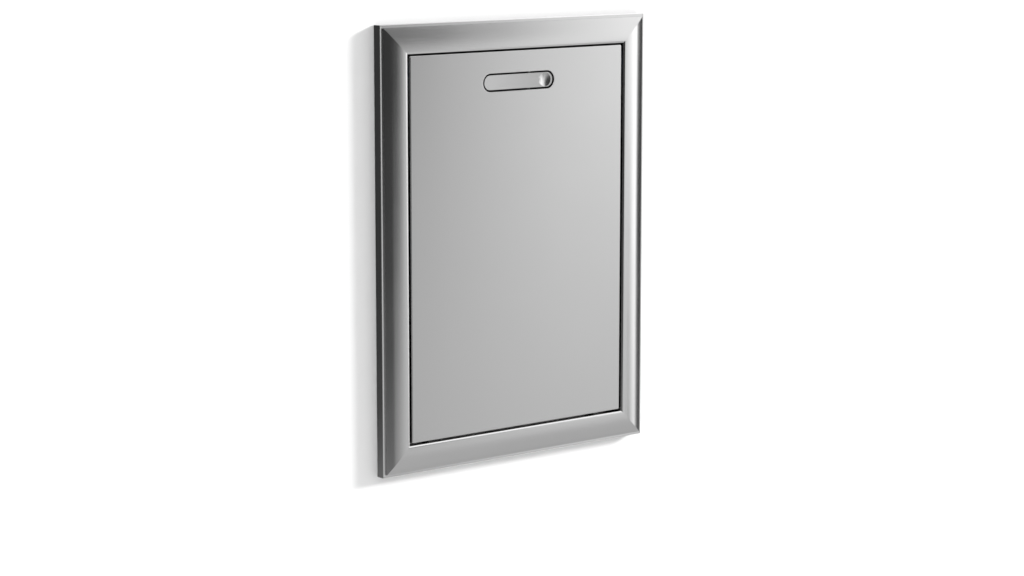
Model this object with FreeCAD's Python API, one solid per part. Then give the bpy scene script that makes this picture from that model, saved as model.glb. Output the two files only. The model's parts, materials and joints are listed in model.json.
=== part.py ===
import FreeCAD, Part
import math
import os

from FreeCAD import Vector

# Built-in trash and recycling drawer for an outdoor kitchen. A mitred trim frame and a sheet cabinet are let
# into a wall, and a drawer on telescoping ball slides carries two lift-out bins behind a flush front.
# Millimetres. The front faces -Y, +Z is up, and the wall surface is the plane y = 0.
# The origin is on that plane, at the middle of the back of the bottom trim flange.

# Trim frame: two rails and two slightly wider stiles of formed sheet, mitred at the corners
TRIM_WIDTH = 514.0
TRIM_HEIGHT = 680.0
TRIM_DEPTH = 22.0
RAIL_BAND = 44.0
STILE_BAND = 46.2
TRIM_SHEET = 1.5
FLANGE = 24.0
JAMB_BEND = 0.4
LIP_REACH = 2.0
LIP_TURN = math.radians(26.0)
ROLL_RADIUS = 12.0
ROLL_TURN = math.radians(8.0)
CROWN = 8.0
GENTLE_RADIUS = 230.0
SHOULDER_START = 25.0
SHOULDER_RADIUS = 75.0
LEDGE = 4.6
LEDGE_DEPTH = 5.9

# Cabinet box behind the trim
CABINET_SHEET = 1.2
CABINET_BACK = 560.0
CABINET_FRONT = -13.0
CABINET_FLANGE = 15.0
TOP_FLANGE_FRONT = 20.0
STOP_Y = 2.0
HEADER_DROP = 16.0
HEADER_END_GAP = 2.0
SILL_RISE = 7.5
MOUNT_HOLE_RADIUS = 3.0
MOUNT_HOLE_YS = (60.0, 480.0)
MOUNT_HOLE_RISES = (300.0, 520.0)

# Bumpers, header seal, slide stops and magnetic catch between cabinet and drawer
CLOSED_GAP = 0.2
BUMPER_X = 165.0
BUMPER_ROUNDING = 1.0
TOP_BUMPER_DROP = 10.5
TOP_BUMPER_RADIUS = 4.5
LOW_BUMPER_RISE = 4.0
LOW_BUMPER_RADIUS = 3.4
SEAL_HEIGHT = 4.4
SLIDE_STOP_GAP = 0.5
SLIDE_STOP_HALF_HEIGHT = 10.0
CATCH_X = 90.0
CATCH_HALF_WIDTH = 20.0
CATCH_EAR_REACH = 32.0
CATCH_EAR_THICKNESS = 2.0
CATCH_TOP_DROP = 5.5
CATCH_HEIGHT = 9.0
CATCH_SCREW_REACH = 27.0
CATCH_SCREW_LENGTH = 4.7
CATCH_SCREW_HEAD_RADIUS = 2.8
CATCH_SCREW_HEAD = 1.3
MAGNET_HALF_WIDTH = 16.0
MAGNET_MARGIN = 2.0
MAGNET_COVER = 1.0
STRIKE_HALF_WIDTH = 24.0
STRIKE_MARGIN = 1.5
STRIKE_SHEET = 1.0

# Drawer front
DOOR_SIDE_GAP = 4.3
DOOR_TOP_GAP = 2.9
DOOR_BOTTOM_GAP = 3.8
DOOR_RECESS = 0.5
DOOR_SHEET = 1.2
DOOR_DEPTH = 17.5
DOOR_EDGE_RADIUS = 1.3
STIFFENER_X = 110.0
STIFFENER_WIDTH = 40.0
STIFFENER_LOW_GAP = 20.0
STIFFENER_HIGH_GAP = 25.0

# Rocker pull in the drawer front
CUTOUT_LENGTH = 138.5
CUTOUT_HEIGHT = 28.0
HANDLE_DROP = 47.2
HANDLE_GAP = 2.6
LEVER_RECESS = 1.0
LEVER_THICKNESS = 4.0
LEVER_EDGE_RADIUS = 0.5
SCOOP_X = 52.0
SCOOP_RADIUS = 10.5
SCOOP_DEPTH = 0.8
PIVOT_FROM_END = 40.0
PIVOT_DEPTH = 10.2
PIN_RADIUS = 2.5
PIN_CLEARANCE = 0.05
BARREL_RADIUS = 5.6
BARREL_LOW = -11.0
BARREL_HIGH = 1.5
CUP_HALF_LENGTH = 71.0
CUP_HALF_HEIGHT = 16.0
CUP_BACK = 6.5
CUP_FLANGE = 9.0
CUP_CLEARANCE = 1.0
CUP_STUD_X = 55.0
CUP_STUD_RISE = 22.0
STUD_LENGTH = 5.0
NUT_RADIUS = 3.9
NUT_HEIGHT = 3.2
PIN_END = 1.2
CLIP_RADIUS = 4.2
CLIP_THICKNESS = 0.8
CLIP_SLOT_HALF_WIDTH = 1.4
PAD_LENGTH = 10.0
PAD_THICKNESS = 4.0
PAD_HALF_HEIGHT = 7.0
SPRING_WIRE_RADIUS = 0.6
SPRING_RADIUS = 4.2
SPRING_PITCH = 1.7
SPRING_TURNS = 3
SPRING_CLEARANCE = 0.6
SPRING_LEVER_LEG = 20.0
SPRING_CUP_LEG = 19.0

# Ball slides: reaches are along X, from each member's web to the tips of its flanges
SLIDE_FRONT = 6.0
SLIDE_BACK = 552.0
SLIDE_RISE = 112.0
OUTER_SHEET = 1.5
MEMBER_SHEET = 1.4
MIDDLE_CLEARANCE = 1.2
OUTER_REACH = 9.5
MIDDLE_REACH = 8.0
INNER_WEB_INSET = 13.1
INNER_REACH = 7.2
OUTER_HALF_HEIGHT = 22.8
BEND_RADIUS = 2.4
BALL_RADIUS = 1.7
BALL_CLEARANCE = 0.15
BALLS_PER_ROW = 7
CAGE_FRONT = 150.0
CAGE_LENGTH = 200.0
CAGE_THICKNESS = 0.9
CAGE_MARGIN = 0.4
RELEASE_Y = 70.0
RELEASE_CLEARANCE = 0.3
RELEASE_THICKNESS = 2.6
RELEASE_HUB_RADIUS = 5.0
RELEASE_ARM_LENGTH = 44.0
RELEASE_ARM_HALF_HEIGHT = 2.6
RELEASE_TAIL_LENGTH = 36.0
RELEASE_TAIL_HALF_HEIGHT = 1.8
RELEASE_TAB_FRONT = 48.0
RELEASE_TAB_BACK = 42.0
RELEASE_TAB_RISE = 2.0
RELEASE_TAB_HALF_HEIGHT = 4.0
RELEASE_PIVOT_HEAD = 1.0

# Drawer box that hangs on the slides
BOX_SHEET = 1.2
BOX_RISE = 12.0
BOX_HEIGHT = 205.0
BOX_BACK = 550.0
BOX_FLANGE = 20.0
BACK_WING = 22.0
FRONT_PLATE_HEIGHT = 420.0
BRACKET_FOOT = 120.0
BRACKET_TIP = 22.0
BRACKET_FLANGE = 18.0
DIVIDER_HEIGHT = 120.0
DIVIDER_FOOT = 16.0

# Lift-out bins
BIN_WIDTH = 380.0
BIN_LENGTH = 248.0
BIN_HEIGHT = 500.0
BIN_FRONT = 16.0
BIN_SPACING = 8.0
BIN_WALL = 2.5
BIN_RIM = 7.0
BIN_RIM_DROP = 16.0
BIN_DRAFT = 15.0
BIN_CORNER = 40.0

# Fasteners: sizes, then places along Y or above the box that they hold together
RIVET_RADIUS = 2.4
RIVET_HEAD_RADIUS = 4.2
RIVET_HEAD = 0.9
RIVET_TAIL_RADIUS = 3.5
RIVET_TAIL = 1.6
SCREW_RADIUS = 2.0
SCREW_HEAD_RADIUS = 3.8
SCREW_HEAD = 2.4
SCREW_HEAD_ROUNDING = 0.4
SCREW_END = 1.5
FLOOR_RIVET_YS = (60, 220, 380, 520)
BACK_RIVET_RISES = (40, 210, 380, 550)
SLIDE_RIVET_YS = (40, 200, 360, 520)
SLIDE_SCREW_YS = (150, 300, 450)
BOX_FLOOR_RIVET_YS = (60, 230, 500)
BOX_BACK_RIVET_RISES = (40, 170)
BRACKET_RIVET_YS = (20, 75)
BRACKET_RIVET_RISES = (30, 170)
FRONT_SCREW_RISES = (50, 160, 280, 390)

# How far a cutter reaches past what it cuts
OVERCUT = 1.0

# Places that follow from the sizes above
OPEN_X = TRIM_WIDTH / 2 - STILE_BAND
OPEN_LOW = RAIL_BAND - FLANGE / 2
OPEN_HIGH = TRIM_HEIGHT - RAIL_BAND - FLANGE / 2
FRONT_Y = -TRIM_DEPTH
STILE_JAMB = TRIM_SHEET * STILE_BAND / RAIL_BAND
PANEL_X = OPEN_X + STILE_JAMB
CABINET_LOW = OPEN_LOW - TRIM_SHEET - CABINET_SHEET
CABINET_HIGH = OPEN_HIGH + TRIM_SHEET
DOOR_X = OPEN_X - DOOR_SIDE_GAP
DOOR_LOW = OPEN_LOW + DOOR_BOTTOM_GAP
DOOR_HIGH = OPEN_HIGH - DOOR_TOP_GAP
DOOR_FRONT = FRONT_Y + DOOR_RECESS
DOOR_BACK = DOOR_FRONT + DOOR_DEPTH
SKIN_BACK = DOOR_FRONT + DOOR_SHEET
HANDLE_Z = DOOR_HIGH - HANDLE_DROP
LEVER_LENGTH = CUTOUT_LENGTH - 2 * HANDLE_GAP
LEVER_HEIGHT = CUTOUT_HEIGHT - 2 * HANDLE_GAP
LEVER_FRONT = DOOR_FRONT + LEVER_RECESS
LEVER_BACK = LEVER_FRONT + LEVER_THICKNESS
PIVOT_X = LEVER_LENGTH / 2 - PIVOT_FROM_END
PIVOT_Y = DOOR_FRONT + PIVOT_DEPTH
SLIDE_Z = OPEN_LOW + SLIDE_RISE
BALL_GAP = 2 * (BALL_RADIUS + BALL_CLEARANCE)
MIDDLE_HALF_HEIGHT = OUTER_HALF_HEIGHT - OUTER_SHEET - BALL_GAP
INNER_HALF_HEIGHT = MIDDLE_HALF_HEIGHT - MEMBER_SHEET - BALL_GAP
MIDDLE_WEB_X = PANEL_X - OUTER_SHEET - MIDDLE_CLEARANCE
INNER_WEB_X = PANEL_X - INNER_WEB_INSET
BOX_X = INNER_WEB_X
BOX_INNER_X = BOX_X - BOX_SHEET
BOX_LOW = OPEN_LOW + BOX_RISE
BOX_FLOOR = BOX_LOW + BOX_SHEET
BOX_FRONT = DOOR_BACK + BOX_SHEET
BIN_LOW = BOX_FLOOR
BIN_CENTRES = {
    "trash_bin": BIN_FRONT + BIN_LENGTH / 2,
    "recycling_bin": BIN_FRONT + BIN_SPACING + BIN_LENGTH * 3 / 2,
}
DIVIDER_Y = BIN_FRONT + BIN_LENGTH + BIN_SPACING / 2
RELEASE_GRIP = RELEASE_THICKNESS + 2 * RELEASE_CLEARANCE
CATCH_HIGH = OPEN_HIGH - CATCH_TOP_DROP
CATCH_LOW = CATCH_HIGH - CATCH_HEIGHT


def box(x0, x1, y0, y1, z0, z1):
    """Block between two corners, whose coordinates may come in either order."""
    low = Vector(min(x0, x1), min(y0, y1), min(z0, z1))
    return Part.makeBox(abs(x1 - x0), abs(y1 - y0), abs(z1 - z0), low)


def mirrored(shape):
    """The same piece on the other side of the middle plane x = 0."""
    return shape.mirror(Vector(0, 0, 0), Vector(1, 0, 0))


def fused(*shapes):
    """One solid from overlapping or touching blocks."""
    return shapes[0].multiFuse(list(shapes[1:])).removeSplitter()


def outline(segments):
    """Wire through (start, end) lines and (start, middle, end) arcs."""
    edges = []
    for points in segments:
        curve = Part.LineSegment(*points) if len(points) == 2 else Part.Arc(*points)
        edges.append(curve.toShape())
    return Part.Wire(edges)


def rounded_rectangle(width, length, radius, y_centre, z):
    """Level wire, width along X and length along Y, with round corners."""
    x, y = width / 2 - radius, length / 2 - radius
    bend = radius * math.sqrt(0.5)
    segments = []
    corners = ((x, y), (-x, y), (-x, -y), (x, -y))
    for index, (cx, cy) in enumerate(corners):
        turn = math.radians(90 * index)
        start = Vector(cx + radius * math.cos(turn), y_centre + cy + radius * math.sin(turn), z)
        middle = Vector(cx + math.copysign(bend, cx), y_centre + cy + math.copysign(bend, cy), z)
        end = Vector(cx - radius * math.sin(turn), y_centre + cy + radius * math.cos(turn), z)
        if segments:
            segments.append((segments[-1][-1], start))
        segments.append((start, middle, end))
    segments.append((segments[-1][-1], segments[0][0]))
    return outline(segments)


def pill(length, height, y0, y1):
    """Prism along Y with round ends, centred on the pull."""
    radius = height / 2
    reach = length / 2 - radius
    top, bottom = HANDLE_Z + radius, HANDLE_Z - radius
    wire = outline([
        (Vector(-reach, y0, bottom), Vector(reach, y0, bottom)),
        (Vector(reach, y0, bottom), Vector(reach + radius, y0, HANDLE_Z), Vector(reach, y0, top)),
        (Vector(reach, y0, top), Vector(-reach, y0, top)),
        (Vector(-reach, y0, top), Vector(-reach - radius, y0, HANDLE_Z), Vector(-reach, y0, bottom)),
    ])
    return Part.Face(wire).extrude(Vector(0, y1 - y0, 0))


def drilled(shape, places, radius, reach):
    """Shape with a round hole at each (point, direction), reach deep along the direction."""
    for point, direction in places:
        start = point - direction * OVERCUT
        shape = shape.cut(Part.makeCylinder(radius, reach + OVERCUT, start, direction))
    return shape


def rivets(places, grip):
    """Blind rivets: a flat head on each point, a shank through the grip and a set tail behind it."""
    solids = []
    for point, direction in places:
        head = Part.makeCylinder(RIVET_HEAD_RADIUS, RIVET_HEAD, point - direction * RIVET_HEAD, direction)
        shank = Part.makeCylinder(RIVET_RADIUS, grip, point, direction)
        tail = Part.makeCylinder(RIVET_TAIL_RADIUS, RIVET_TAIL, point + direction * grip, direction)
        solids.append(fused(head, shank, tail))
    return solids


def screws(places, length, head_radius=SCREW_HEAD_RADIUS, head=SCREW_HEAD, radius=SCREW_RADIUS):
    """Pan-head screws: a head with a softened rim on each point and a shank into the stack."""
    solids = []
    for point, direction in places:
        cap = Part.makeCylinder(head_radius, head, point - direction * head, direction)
        rim = [edge for edge in cap.Edges if edge.Closed and (edge.CenterOfMass - point).Length > head / 2]
        cap = cap.makeFillet(head * SCREW_HEAD_ROUNDING, rim)
        solids.append(fused(cap, Part.makeCylinder(radius, length, point, direction)))
    return solids


def group(solids):
    """Separate solids that share one node."""
    return Part.makeCompound(solids)


def both_sides(places):
    """Places on the right, followed by the same places mirrored to the left."""
    left = [(Vector(-p.x, p.y, p.z), Vector(-d.x, d.y, d.z)) for p, d in places]
    return places + left


def trim_profile(band):
    """Section of a rail or stile: z runs outward from the opening's edge, y back from the front plane.

    The sheet runs from the jamb, over a tight bend, a narrow sloping lip and a roll, along a gentle arc that
    is foremost at the crown and a shoulder arc that falls away to the ledge, down the side wall and back
    along the wall as a flange. A stile's section is the rail's, stretched outward, so that the two meet on
    the mitre.
    """
    stretch = band / RAIL_BAND

    def at(out, depth):
        return Vector(0, FRONT_Y + depth, out * stretch)

    def on(centre, radius, lean):
        """Point of an arc where the sheet leans by that angle towards the opening."""
        return at(centre[0] - radius * math.sin(lean), centre[1] - radius * math.cos(lean))

    def moved(centre, distance, lean):
        return (centre[0] - distance * math.sin(lean), centre[1] - distance * math.cos(lean))

    roll_out = LIP_REACH + ROLL_RADIUS * math.sin(ROLL_TURN)
    rise = math.asin((CROWN - roll_out) / (GENTLE_RADIUS - ROLL_RADIUS))
    fall = -math.asin((SHOULDER_START - CROWN) / GENTLE_RADIUS)
    gentle = (CROWN, GENTLE_RADIUS)
    roll = moved(gentle, GENTLE_RADIUS - ROLL_RADIUS, rise)
    lip_top = moved(roll, ROLL_RADIUS, ROLL_TURN)
    lip_fall = (LIP_REACH - JAMB_BEND) * math.tan(LIP_TURN)
    bend = (JAMB_BEND, lip_top[1] + lip_fall + JAMB_BEND / math.cos(LIP_TURN))
    shoulder = moved(gentle, GENTLE_RADIUS - SHOULDER_RADIUS, fall)

    def crown(inset, roll_start):
        """Roll, gentle and shoulder arcs at a distance of inset under the outer surface."""
        reach = RAIL_BAND - LEDGE - inset - shoulder[0]
        last = -math.asin(reach / (SHOULDER_RADIUS - inset))
        arcs = []
        for centre, radius, start, end in (
            (roll, ROLL_RADIUS - inset, roll_start, rise),
            (gentle, GENTLE_RADIUS - inset, rise, fall),
            (shoulder, SHOULDER_RADIUS - inset, fall, last),
        ):
            arcs.append(tuple(on(centre, radius, lean) for lean in (start, (start + end) / 2, end)))
        return arcs

    outer_crown = crown(0, ROLL_TURN)
    inner_crown = crown(TRIM_SHEET, math.asin((roll[0] - TRIM_SHEET) / (ROLL_RADIUS - TRIM_SHEET)))
    jamb_top, lip_foot = at(0, bend[1]), on(bend, JAMB_BEND, LIP_TURN)
    flange_tip, foot = RAIL_BAND - FLANGE, TRIM_DEPTH - TRIM_SHEET
    side, ledge_foot = RAIL_BAND - TRIM_SHEET, LEDGE_DEPTH + TRIM_SHEET
    corners = [outer_crown[-1][-1], at(RAIL_BAND - LEDGE, LEDGE_DEPTH), at(RAIL_BAND, LEDGE_DEPTH),
               at(RAIL_BAND, TRIM_DEPTH), at(flange_tip, TRIM_DEPTH), at(flange_tip, foot), at(side, foot),
               at(side, ledge_foot), at(side - LEDGE, ledge_foot), inner_crown[-1][-1]]
    tail = [inner_crown[0][0], at(TRIM_SHEET, TRIM_DEPTH), at(0, TRIM_DEPTH), jamb_top]
    return Part.Face(outline([
        (jamb_top, on(bend, JAMB_BEND, (LIP_TURN + math.pi / 2) / 2), lip_foot),
        (lip_foot, outer_crown[0][0]),
        *outer_crown,
        *zip(corners, corners[1:]),
        *[tuple(reversed(arc)) for arc in reversed(inner_crown)],
        *zip(tail, tail[1:]),
    ]))


def trim_rail(half_opening, band, cross_band):
    """Rail along X whose opening edge is on z = 0, mitred at both ends to rails of another band."""
    half_length = half_opening + cross_band + OVERCUT
    bar = trim_profile(band)
    bar.translate(Vector(-half_length, 0, 0))
    bar = bar.extrude(Vector(2 * half_length, 0, 0))
    slant = cross_band / band
    low, high = -OVERCUT, band + OVERCUT
    right = [(half_opening + slant * z, z) for z in (low, high)]
    left = [(-x, z) for x, z in reversed(right)]
    points = [Vector(x, FRONT_Y - OVERCUT, z) for x, z in right + left]
    mitres = Part.Face(Part.makePolygon(points + points[:1])).extrude(Vector(0, TRIM_DEPTH + 2 * OVERCUT, 0))
    return bar.common(mitres)


def trim_frame():
    """The four rails, each turned about Y and carried to its edge of the opening."""
    middle_z = (OPEN_LOW + OPEN_HIGH) / 2
    half_height = (OPEN_HIGH - OPEN_LOW) / 2
    level = (OPEN_X, RAIL_BAND, STILE_BAND)
    upright = (half_height, STILE_BAND, RAIL_BAND)
    places = {
        "trim_top_rail": (level, 0, Vector(0, 0, OPEN_HIGH)),
        "trim_bottom_rail": (level, 180, Vector(0, 0, OPEN_LOW)),
        "trim_right_stile": (upright, 90, Vector(OPEN_X, 0, middle_z)),
        "trim_left_stile": (upright, -90, Vector(-OPEN_X, 0, middle_z)),
    }
    rails = {}
    for name, (sizes, turn, place) in places.items():
        rail = trim_rail(*sizes)
        rail.rotate(Vector(0, 0, 0), Vector(0, 1, 0), turn)
        rail.translate(place)
        rails[name] = rail
    return rails


# Fastener places: the point on the near face of the stack, and the direction into it
ALONG_X, ALONG_Y, ALONG_Z = Vector(1, 0, 0), Vector(0, 1, 0), Vector(0, 0, 1)
FLANGE_LINE = PANEL_X - CABINET_FLANGE / 2
FLOOR_RIVETS = both_sides([(Vector(FLANGE_LINE, y, CABINET_LOW + CABINET_SHEET), -ALONG_Z)
                           for y in FLOOR_RIVET_YS])
BACK_RIVETS = both_sides([(Vector(FLANGE_LINE, CABINET_BACK, OPEN_LOW + rise), -ALONG_Y)
                          for rise in BACK_RIVET_RISES])
SLIDE_RIVETS = both_sides([(Vector(PANEL_X - OUTER_SHEET, y, SLIDE_Z), ALONG_X) for y in SLIDE_RIVET_YS])
MOUNT_HOLES = both_sides([(Vector(PANEL_X, y, OPEN_LOW + rise), ALONG_X)
                          for y in MOUNT_HOLE_YS for rise in MOUNT_HOLE_RISES])
SLIDE_SCREWS = both_sides([(Vector(BOX_INNER_X, y, SLIDE_Z), ALONG_X) for y in SLIDE_SCREW_YS])
BOX_FLOOR_RIVETS = both_sides([(Vector(BOX_INNER_X - BOX_FLANGE / 2, y, BOX_FLOOR), -ALONG_Z)
                               for y in BOX_FLOOR_RIVET_YS])
WEB_X = BOX_INNER_X - BOX_SHEET
BOX_BACK_RIVETS = both_sides([(Vector(WEB_X, BOX_BACK - BACK_WING / 2, BOX_LOW + rise), ALONG_X)
                              for rise in BOX_BACK_RIVET_RISES])
BRACKET_RIVETS = both_sides([(Vector(WEB_X, y, BOX_LOW + rise), ALONG_X)
                             for y in BRACKET_RIVET_YS for rise in BRACKET_RIVET_RISES])
FRONT_SCREW_X = WEB_X - BRACKET_FLANGE / 2
FRONT_SCREWS = both_sides([(Vector(FRONT_SCREW_X, BOX_FRONT + BOX_SHEET, BOX_LOW + rise), -ALONG_Y)
                           for rise in FRONT_SCREW_RISES])
CATCH_SCREWS = [(Vector(CATCH_X + side * CATCH_SCREW_REACH, STOP_Y - CATCH_EAR_THICKNESS,
                        (CATCH_LOW + CATCH_HIGH) / 2), ALONG_Y) for side in (-1, 1)]
CUP_STUDS = [(Vector(x, SKIN_BACK + DOOR_SHEET, HANDLE_Z + rise), ALONG_Y)
             for x in (-CUP_STUD_X, CUP_STUD_X) for rise in (-CUP_STUD_RISE, CUP_STUD_RISE)]
RELEASE_PIVOTS = both_sides([(Vector(BOX_X + MEMBER_SHEET + RELEASE_GRIP, RELEASE_Y, SLIDE_Z), -ALONG_X)])


def cabinet():
    """Sheet box let into the wall: two flanged sides, floor, back, header and sill angles."""
    sheet = CABINET_SHEET
    low, high = CABINET_LOW - sheet, CABINET_HIGH
    tip = PANEL_X - CABINET_FLANGE
    inside_back = CABINET_BACK - sheet
    side = fused(
        box(PANEL_X, PANEL_X + sheet, CABINET_FRONT, inside_back, low, high),
        box(tip, PANEL_X, CABINET_FRONT, inside_back, low, CABINET_LOW),
        box(tip, PANEL_X, inside_back - sheet, inside_back, low, high),
        box(tip, PANEL_X, TOP_FLANGE_FRONT, inside_back, high - sheet, high),
    )
    side = drilled(side, FLOOR_RIVETS[:4], RIVET_RADIUS, 2 * sheet)
    side = drilled(side, BACK_RIVETS[:4], RIVET_RADIUS, 2 * sheet)
    side = drilled(side, SLIDE_RIVETS[:4], RIVET_RADIUS, OUTER_SHEET + sheet)
    side = drilled(side, MOUNT_HOLES[:4], MOUNT_HOLE_RADIUS, sheet)
    floor = box(-PANEL_X, PANEL_X, CABINET_FRONT, inside_back - sheet, CABINET_LOW, CABINET_LOW + sheet)
    floor = drilled(floor, FLOOR_RIVETS, RIVET_RADIUS, sheet)
    back = box(-PANEL_X - sheet, PANEL_X + sheet, inside_back, CABINET_BACK, low, high)
    back = drilled(back, BACK_RIVETS, RIVET_RADIUS, sheet)
    header_x = PANEL_X - HEADER_END_GAP
    header = fused(
        box(-PANEL_X, PANEL_X, CABINET_FRONT, STOP_Y + sheet, CABINET_HIGH, CABINET_HIGH + sheet),
        box(-header_x, header_x, STOP_Y, STOP_Y + sheet, OPEN_HIGH - HEADER_DROP, CABINET_HIGH),
    )
    header = drilled(header, CATCH_SCREWS, SCREW_RADIUS, CATCH_EAR_THICKNESS + sheet)
    floor_top = CABINET_LOW + sheet
    sill = fused(
        box(-BOX_X, BOX_X, STOP_Y, STOP_Y + CABINET_FLANGE, floor_top, floor_top + sheet),
        box(-BOX_X, BOX_X, STOP_Y, STOP_Y + sheet, floor_top, OPEN_LOW + SILL_RISE),
    )
    return {
        "cabinet_right_side": side,
        "cabinet_left_side": mirrored(side),
        "cabinet_floor": floor,
        "cabinet_back": back,
        "header_angle": header,
        "sill_angle": sill,
        "cabinet_rivets": group(rivets(FLOOR_RIVETS + BACK_RIVETS, 2 * sheet)),
    }


def header_seal():
    """Rubber strip with a round nose on the header, behind the gap over the drawer front."""
    reach = PANEL_X - HEADER_END_GAP
    nose = SEAL_HEIGHT / 2
    middle_z = OPEN_HIGH - CLOSED_GAP - nose
    front = DOOR_BACK + CLOSED_GAP
    strip = box(-reach, reach, front + nose, STOP_Y, middle_z - nose, middle_z + nose)
    return fused(strip, Part.makeCylinder(nose, 2 * reach, Vector(-reach, front + nose, middle_z), ALONG_X))


def stops_and_catch():
    """Bumpers and seal on the header and sill, slide stops at the back, magnetic catch with its strike."""
    bumper_front = DOOR_BACK + CLOSED_GAP
    bumper_middle = (bumper_front + STOP_Y) / 2
    bumpers = []
    top_level = (OPEN_HIGH - TOP_BUMPER_DROP, TOP_BUMPER_RADIUS)
    low_level = (OPEN_LOW + LOW_BUMPER_RISE, LOW_BUMPER_RADIUS)
    for x in (-BUMPER_X, BUMPER_X):
        for z, radius in (top_level, low_level):
            bumper = Part.makeCylinder(radius, STOP_Y - bumper_front, Vector(x, bumper_front, z), ALONG_Y)
            rim = [edge for edge in bumper.Edges if edge.Closed and edge.CenterOfMass.y < bumper_middle]
            bumpers.append(bumper.makeFillet(BUMPER_ROUNDING, rim))
    stop_low, stop_high = SLIDE_Z - SLIDE_STOP_HALF_HEIGHT, SLIDE_Z + SLIDE_STOP_HALF_HEIGHT
    stop = box(MIDDLE_WEB_X - MIDDLE_REACH, MIDDLE_WEB_X, SLIDE_BACK + SLIDE_STOP_GAP,
               CABINET_BACK - 2 * CABINET_SHEET, stop_low, stop_high)
    strike_back = DOOR_BACK + STRIKE_SHEET
    housing_front = strike_back + CLOSED_GAP

    def about_catch(half_width, y0, y1, low, high):
        return box(CATCH_X - half_width, CATCH_X + half_width, y0, y1, low, high)

    housing = fused(
        about_catch(CATCH_HALF_WIDTH, housing_front, STOP_Y, CATCH_LOW, CATCH_HIGH),
        about_catch(CATCH_EAR_REACH, STOP_Y - CATCH_EAR_THICKNESS, STOP_Y, CATCH_LOW, CATCH_HIGH),
    )
    magnet = about_catch(MAGNET_HALF_WIDTH, housing_front, STOP_Y - MAGNET_COVER,
                         CATCH_LOW + MAGNET_MARGIN, CATCH_HIGH - MAGNET_MARGIN)
    housing = drilled(housing.cut(magnet), CATCH_SCREWS, SCREW_RADIUS, CATCH_EAR_THICKNESS)
    strike = about_catch(STRIKE_HALF_WIDTH, DOOR_BACK, strike_back, CATCH_LOW - STRIKE_MARGIN, CATCH_HIGH)
    catch_screws = screws(CATCH_SCREWS, CATCH_SCREW_LENGTH, CATCH_SCREW_HEAD_RADIUS, CATCH_SCREW_HEAD)
    return {
        "door_bumpers": group(bumpers),
        "header_seal": header_seal(),
        "slide_stops": group([stop, mirrored(stop)]),
        "catch_housing": housing,
        "catch_magnet": magnet,
        "catch_screws": group(catch_screws),
        "catch_strike": strike,
    }


def channel(web_x, reach, half_height, sheet, y0, y1):
    """C-shaped slide member with rounded bends: the web's flat face on web_x, flanges reaching along X."""
    inward = math.copysign(1.0, reach)

    def bent(block, face_x, radius):
        bends = [edge for edge in block.Edges
                 if all(abs(v.X - face_x) < 1e-6 for v in edge.Vertexes)
                 and abs(edge.Vertexes[0].Y - edge.Vertexes[1].Y) > 1.0]
        return block.makeFillet(radius, bends)

    inner_x = web_x + inward * sheet
    inner_half = half_height - sheet
    outer = box(web_x, web_x + reach, y0, y1, SLIDE_Z - half_height, SLIDE_Z + half_height)
    inner = box(inner_x, web_x + reach + inward * OVERCUT, y0 - OVERCUT, y1 + OVERCUT,
                SLIDE_Z - inner_half, SLIDE_Z + inner_half)
    return bent(outer, web_x, BEND_RADIUS).cut(bent(inner, inner_x, BEND_RADIUS - sheet))


def ball_row(x0, x1, half_height):
    """Cage strips above and below the slide's middle line, and the balls that they hold."""
    strips, balls = [], []
    ball_x = (x0 + x1) / 2
    pitch = CAGE_LENGTH / BALLS_PER_ROW
    for level in (SLIDE_Z + half_height, SLIDE_Z - half_height):
        strip = box(x0, x1, CAGE_FRONT, CAGE_FRONT + CAGE_LENGTH,
                    level - CAGE_THICKNESS / 2, level + CAGE_THICKNESS / 2)
        for index in range(BALLS_PER_ROW):
            centre = Vector(ball_x, CAGE_FRONT + pitch * (index + 0.5), level)
            pocket = Part.makeCylinder(BALL_RADIUS + BALL_CLEARANCE, 2 * CAGE_THICKNESS,
                                       centre - ALONG_Z * CAGE_THICKNESS, ALONG_Z)
            strip = strip.cut(pocket)
            balls.append(Part.makeSphere(BALL_RADIUS, centre))
        strips.append(strip)
    return group(strips), group(balls)


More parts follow.
